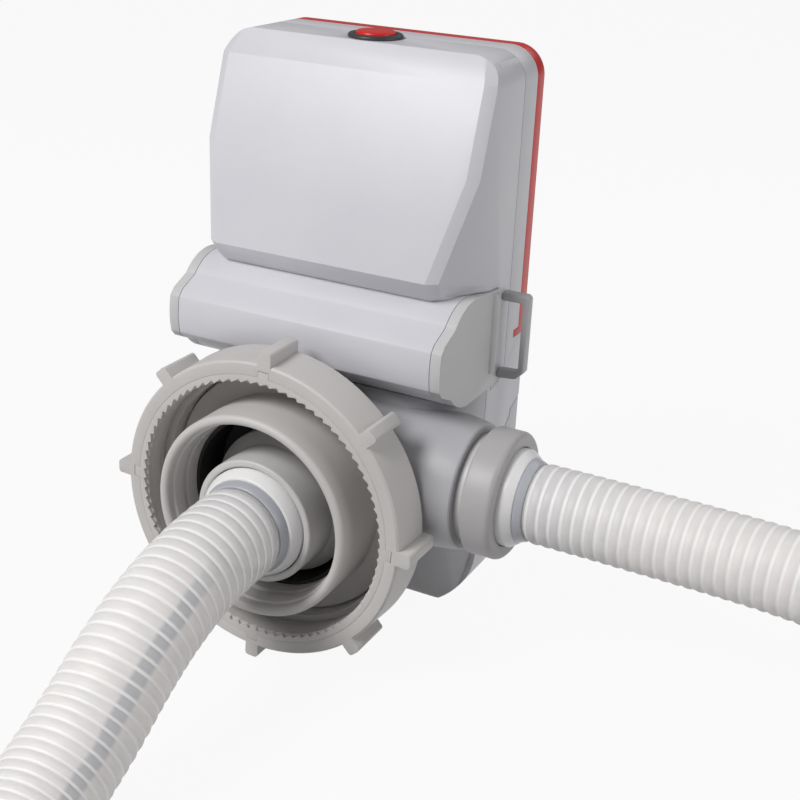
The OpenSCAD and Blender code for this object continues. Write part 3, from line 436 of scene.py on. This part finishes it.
# By record slot: name, linear colour, deeper colour, roughness, stretch of the marks and share of metal
metalFinishes = {
    "plate_metal": ("plateMetal", (0.62, 0.63, 0.65), (0.5, 0.51, 0.53), 0.36, (1, 8, 1)),
    "steel": ("drawnSteel", (0.66, 0.67, 0.69), (0.52, 0.53, 0.55), 0.3, (1, 10, 1)),
    "magnet": ("sinteredMagnet", (0.10, 0.10, 0.11), (0.06, 0.06, 0.07), 0.55, (1, 1, 1), 0.4),
    "armature_metal": ("laminatedArmature", (0.5, 0.32, 0.18), (0.3, 0.2, 0.14), 0.4, (1, 30, 1)),
    "spring_metal": ("platedSpring", (0.78, 0.72, 0.52), (0.62, 0.56, 0.38), 0.25),
}
materials.update({slot: workedMetal(*finish) for slot, finish in metalFinishes.items()})


# Places along the hose count in ribs from the cuff, and places around it are shares of a turn
hoseFinish = {
    # The line at each rib's foot is more opaque than the bands, and its brighter colour is a painted
    # highlight
    "line": (252, 251, 250),
    "lineFrom": 0.45,
    "lineTo": 0.95,
    "lineAlpha": 0.95,
    "band": (244, 240, 238),
    "bandAlpha": 0.82,
    # Below: the grey of the painted shade streak, which the random mottle also uses, then that streak's
    # values. The streak is painted shade seen through the wall, at a fixed place around the hose
    "shadeStreak": (196, 197, 202),
    "shadeStreakAt": 0.40,
    "shadeStreakHalf": 0.026,
    "shadeStreakSoft": 0.25,
    "shadeStreakFrom": 6,
    "shadeStreakFade": 5,
    "shadeStreakShare": 0.9,
    "wander": 0.06,
    "wanderStretch": (0.01, 0.09, 1),
    "mottleStretch": (9, 0.7, 1),
    "mottleShare": 0.25,
    # Painted shade: the bands are greyed over the first ribs from the cuff, for the dark nut seen through
    # the wall
    "nearCuffShadeTo": 10,
    "nearCuffShadeShare": 0.34,
    "smoothest": 0.42,
    "roughest": 0.56,
    "grain": 0.06,
    "grainDepth": 0.0001,
    "milkiness": 0.5,
    "milkDepth": 0.008,
}


# Milky hose wall: a line at each rib's foot that is more opaque and brighter as a painted highlight,
# see-through bands between that are greyed near the cuff as painted shade, and one long grey streak of
# painted shade
def milkyHose(name, v):
    m = Recipe(bpy.data.materials.new(name))
    bandColour, shadeAndMottleGrey = linear(v["band"]), linear(v["shadeStreak"])
    along = m.add("ShaderNodeUVMap", {"uv_map": "alongHose"})
    around = m.add("ShaderNodeSeparateXYZ", None, along, out=0)
    rib = m.add("ShaderNodeSeparateXYZ", None, along, out=1)
    # The line at each rib's foot: more opaque, and brighter as a painted highlight
    line = m.add("ShaderNodeMath", {"operation": "COSINE"}, rib * (2 * math.pi))
    line = m.spread(line, v["lineFrom"], v["lineTo"])
    # Painted shade streak: grey at one fixed place around the hose, fading in a few ribs from the cuff
    wander = m.noise(m.stretch(along, v["wanderStretch"]), 1, detail=2) * v["wander"]
    offset = around + wander - v["shadeStreakAt"] - v["wander"] / 2
    offset = m.add("ShaderNodeMath", {"operation": "ABSOLUTE"}, offset)
    full, none = v["shadeStreakHalf"] * (1 - v["shadeStreakSoft"]), v["shadeStreakHalf"] * (1 + v["shadeStreakSoft"])
    shadeStreak = m.spread(offset, full, none, 1, 0)
    shadeStreak = shadeStreak * m.spread(rib, v["shadeStreakFrom"], v["shadeStreakFrom"] + v["shadeStreakFade"])
    mottle = m.noise(m.stretch(along, v["mottleStretch"]), 1, detail=3, roughness=0.6)
    mottle = m.spread(mottle, 0.35, 0.75)
    # Painted shade: the bands grow greyer towards the cuff
    nearCuffShade = m.spread(rib, 1, v["nearCuffShadeTo"], v["nearCuffShadeShare"], 0)
    band = m.mixColours(mottle * v["mottleShare"] + nearCuffShade, bandColour, shadeAndMottleGrey)
    band = m.mixColours(shadeStreak * v["shadeStreakShare"], band, shadeAndMottleGrey)
    tint = m.mixColours(line, band, linear(v["line"]))
    cloud = m.noise(m.place(), 60, detail=4, roughness=0.6)
    rough = m.spread(cloud, 0, 1, v["smoothest"], v["roughest"])
    alpha = line * (v["lineAlpha"] - v["bandAlpha"]) + v["bandAlpha"]
    normal = m.bump(m.noise(m.place(), 900, detail=2), v["grain"], v["grainDepth"])
    return m.finish(Base_Color=tint, Roughness=rough, Normal=normal, Alpha=alpha,
                    Subsurface_Weight=v["milkiness"], Subsurface_Scale=v["milkDepth"],
                    Subsurface_Radius=(1, 1, 1))


materials["hose_plastic"] = milkyHose("milkyHose", hoseFinish)
for hose in (suctionHose, deliveryHose):
    hose.data.materials.append(materials["hose_plastic"])
print("materials made:", len(materials) + len(set(ownFinish.values())))


def deselectAll():
    for o in bpy.context.selected_objects:
        o.select_set(False)


def makeActive(piece):
    deselectAll()
    piece.select_set(True)
    bpy.context.view_layer.objects.active = piece


# The front shell's foot leans back onto the barrel, where the CAD's is nearly upright
shellFoot = {
    "top": 0.0907,
    "lean": 0.47,
    "fullTo": 0.0465,
    "noneFrom": 0.056,
    "barrelY": 0.057,
    "barrelZ": 0.0614,
    "barrelR": 0.0218,
}


def leanFoot(mesh, v):
    for vert in mesh.vertices:
        x, y, z = vert.co
        drop = v["top"] - z
        share = min(1.0, (v["noneFrom"] - y) / (v["noneFrom"] - v["fullTo"]))
        if drop <= 0 or share <= 0:
            continue
        y += drop * v["lean"] * share
        reach = v["barrelR"] ** 2 - (y - v["barrelY"]) ** 2
        if reach > 0:
            z = max(z, v["barrelZ"] + math.sqrt(reach))
        vert.co = (x, y, z)


# The clear end bands narrow from the cuff's mouth to the hose
sleeveTaper = {
    "suction_sleeve": {"along": 1, "sign": -1, "centre": (0, 0, -0.003), "end": 0.0187},
    "delivery_sleeve": {"along": 0, "sign": 1, "centre": (0, 0.048, 0.01), "end": 0.0157},
}


def taperSleeve(mesh, v):
    axis, sign = v["along"], v["sign"]
    marks = [vert.co[axis] * sign for vert in mesh.vertices]
    near, far = min(marks), max(marks)
    for vert in mesh.vertices:
        out = vert.co - Vector(v["centre"])
        out[axis] = 0
        wide = out.length
        t = (vert.co[axis] * sign - near) / (far - near)
        if wide > v["end"]:
            vert.co -= out * ((wide - v["end"]) / wide * t)


# These keep the CAD's triangles, because their large flat faces fill wrongly as single polygons
keptTriangles = ("collar_nut", "red_panel", "snap_ring")

# Width of each moulded piece's rounded edges
edgeWidths = {
    "pump_head": 0.0006, "front_shell": 0.0012, "rear_shell": 0.0006, "rear_plate": 0.0006,
    "red_panel": 0.0006, "battery_barrel": 0.0007, "end_cap_left": 0.0011, "end_cap_right": 0.0011,
    "strap_loop": 0.0009, "centre_tube": 0.0004, "collar_nut": 0.0006, "snap_ring": 0.00018,
    "suction_port": 0.0004, "suction_cuff": 0.0004, "suction_sleeve": 0.0004, "outlet_spigot": 0.0003,
    "union_collar": 0.0004, "delivery_cuff": 0.0003, "delivery_sleeve": 0.0004, "power_button": 0.0004,
    "button_bezel": 0.0003,
}
edgeValues = {
    "weldWithin": 2e-6,
    "flatWithin": 0.6,
    "sharpFrom": 32,
    "segments": 3,
}


# A copy of a CAD solid with its edges rounded, which stands in for it
def softened(node, width, v):
    mesh = nodes[node].data.copy()
    mesh.materials.clear()
    shape = bmesh.new()
    shape.from_mesh(mesh)
    bmesh.ops.remove_doubles(shape, verts=shape.verts[:], dist=v["weldWithin"])
    if node not in keptTriangles:
        flat = math.radians(v["flatWithin"])
        bmesh.ops.dissolve_limit(shape, angle_limit=flat, verts=shape.verts[:], edges=shape.edges[:])
    shape.to_mesh(mesh)
    shape.free()
    if node == "front_shell":
        leanFoot(mesh, shellFoot)
    if node in sleeveTaper:
        taperSleeve(mesh, sleeveTaper[node])
    piece = bpy.data.objects.new(node + "_moulded", mesh)
    bpy.context.scene.collection.objects.link(piece)
    makeActive(piece)
    bevel = piece.modifiers.new("edge", "BEVEL")
    bevel.width = width
    bevel.segments = v["segments"]
    bevel.limit_method = "ANGLE"
    bevel.angle_limit = math.radians(v["sharpFrom"])
    bpy.ops.object.modifier_apply(modifier=bevel.name)
    bpy.ops.object.shade_smooth_by_angle(angle=math.radians(v["sharpFrom"]))
    piece.data.materials.append(ownFinish.get(node) or materials[slotOfNode[node]])
    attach(piece, bodyOfNode[node])
    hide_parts(node)


for node, width in edgeWidths.items():
    softened(node, width, edgeValues)
print("moulded pieces rounded:", len(edgeWidths))


# Curved strips that close the front shell's two top corners
cornerValues = {
    "centreX": 0.0485,
    "centreZ": 0.16,
    "radius": 0.01195,
    "thickness": 0.0023,
    "front": 0.0735,
    "back": 0.0937,
    "from": 18,
    "to": 72,
    "sides": 144,
    "sharpFrom": 30,
}


def closeCorner(name, side, v):
    deselectAll()
    bpy.ops.mesh.primitive_cylinder_add(
        vertices=v["sides"], radius=v["radius"], depth=v["back"] - v["front"], end_fill_type="NOTHING",
        location=(side * v["centreX"], (v["front"] + v["back"]) / 2, v["centreZ"]),
        rotation=(math.pi / 2, 0, 0))
    piece = bpy.context.object
    piece.name = name
    bpy.ops.object.transform_apply(location=True, rotation=True, scale=True)
    bpy.ops.object.mode_set(mode="EDIT")
    for degrees, sign in ((v["from"], 1), (v["to"], -1)):
        turn = math.radians(degrees)
        bpy.ops.mesh.select_all(action="SELECT")
        bpy.ops.mesh.bisect(
            plane_co=(side * v["centreX"], 0, v["centreZ"]),
            plane_no=(-sign * side * math.sin(turn), 0, sign * math.cos(turn)), clear_inner=True)
    bpy.ops.object.mode_set(mode="OBJECT")
    wall = piece.modifiers.new("wall", "SOLIDIFY")
    wall.thickness = v["thickness"]
    wall.offset = -1
    bpy.ops.object.modifier_apply(modifier=wall.name)
    bpy.ops.object.shade_smooth_by_angle(angle=math.radians(v["sharpFrom"]))
    flipIfInward(piece)
    piece.data.materials.append(materials["shell_plastic"])
    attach(piece, "case")


closeCorner("corner_strip_right", 1, cornerValues)
closeCorner("corner_strip_left", -1, cornerValues)
print("corners closed")

# Other CAD nodes keep their own mesh and take a finished material
for name, node in nodes.items():
    if not node.hide_render:
        node.data.materials.clear()
        node.data.materials.append(materials[slotOfNode[name]])
        makeActive(node)
        bpy.ops.object.shade_smooth_by_angle(angle=math.radians(30))
deselectAll()
print("other nodes finished")


# Floor, world and lights
stageValues = {
    "floorSize": 12,
    "floorZ": -0.0681,
    "floorColour": (0.46, 0.46, 0.46),
    "floorRoughness": 0.6,
    "floorGlow": 0.93,
    "worldStrength": 0.24,
}
lightValues = {
    "keyBox": {"place": (-0.5, -1.0, 1.12), "width": 0.65, "height": 0.55, "power": 19.5},
    "fillBox": {"place": (1.3, 0.25, 0.55), "width": 0.8, "height": 0.8, "power": 4.6},
    "rimBox": {"place": (0.4, 1.2, 1.0), "width": 0.8, "height": 0.5, "power": 1.5},
}


# A pale floor that looks nearly white, and lights the part no more than a mid grey would
def makeFloor(v):
    deselectAll()
    bpy.ops.mesh.primitive_plane_add(size=v["floorSize"], location=(0, 0, v["floorZ"]))
    floor = bpy.context.object
    floor.name = "floor"
    m = Recipe(bpy.data.materials.new("paleFloor"))
    floor.data.materials.append(m.finish(Base_Color=v["floorColour"], Roughness=v["floorRoughness"]))
    seen = m.add("ShaderNodeLightPath", out="Is Camera Ray")
    for ray in ("Is Glossy Ray", "Is Transmission Ray"):
        seen = m.add("ShaderNodeMath", {"operation": "MAXIMUM"}, seen, m.add("ShaderNodeLightPath", out=ray))
    glow = m.add("ShaderNodeEmission", None, Strength=1.0)
    lit = Wire(m, m.shader.outputs[0])
    blend = m.add("ShaderNodeMixShader", None, seen * v["floorGlow"], lit, glow)
    m.plug(m.tree.nodes["Material Output"].inputs[0], blend)


# The world is white to the camera and dimmer as a light
def makeWorld(v):
    world = bpy.data.worlds.new("studio")
    bpy.context.scene.world = world
    m = Recipe(world)
    ground = m.tree.nodes["Background"]
    seen = m.add("ShaderNodeLightPath", out="Is Camera Ray")
    m.plug(ground.inputs["Color"], (1, 1, 1))
    m.plug(ground.inputs["Strength"], m.spread(seen, 0, 1, v["worldStrength"], 1.0))


# A soft box that points at the origin, the middle of the nut's front
def softBox(name, v):
    data = bpy.data.lights.new(name, "AREA")
    data.shape = "RECTANGLE"
    data.size = v["width"]
    data.size_y = v["height"]
    data.energy = v["power"]
    lamp = bpy.data.objects.new(name, data)
    lamp.location = v["place"]
    lamp.rotation_mode = "QUATERNION"
    lamp.rotation_quaternion = (-Vector(v["place"])).to_track_quat("-Z", "Y")
    bpy.context.scene.collection.objects.link(lamp)


makeFloor(stageValues)
makeWorld(stageValues)
for name, values in lightValues.items():
    softBox(name, values)
bpy.context.scene.view_settings.view_transform = "Standard"
print("stage lit")
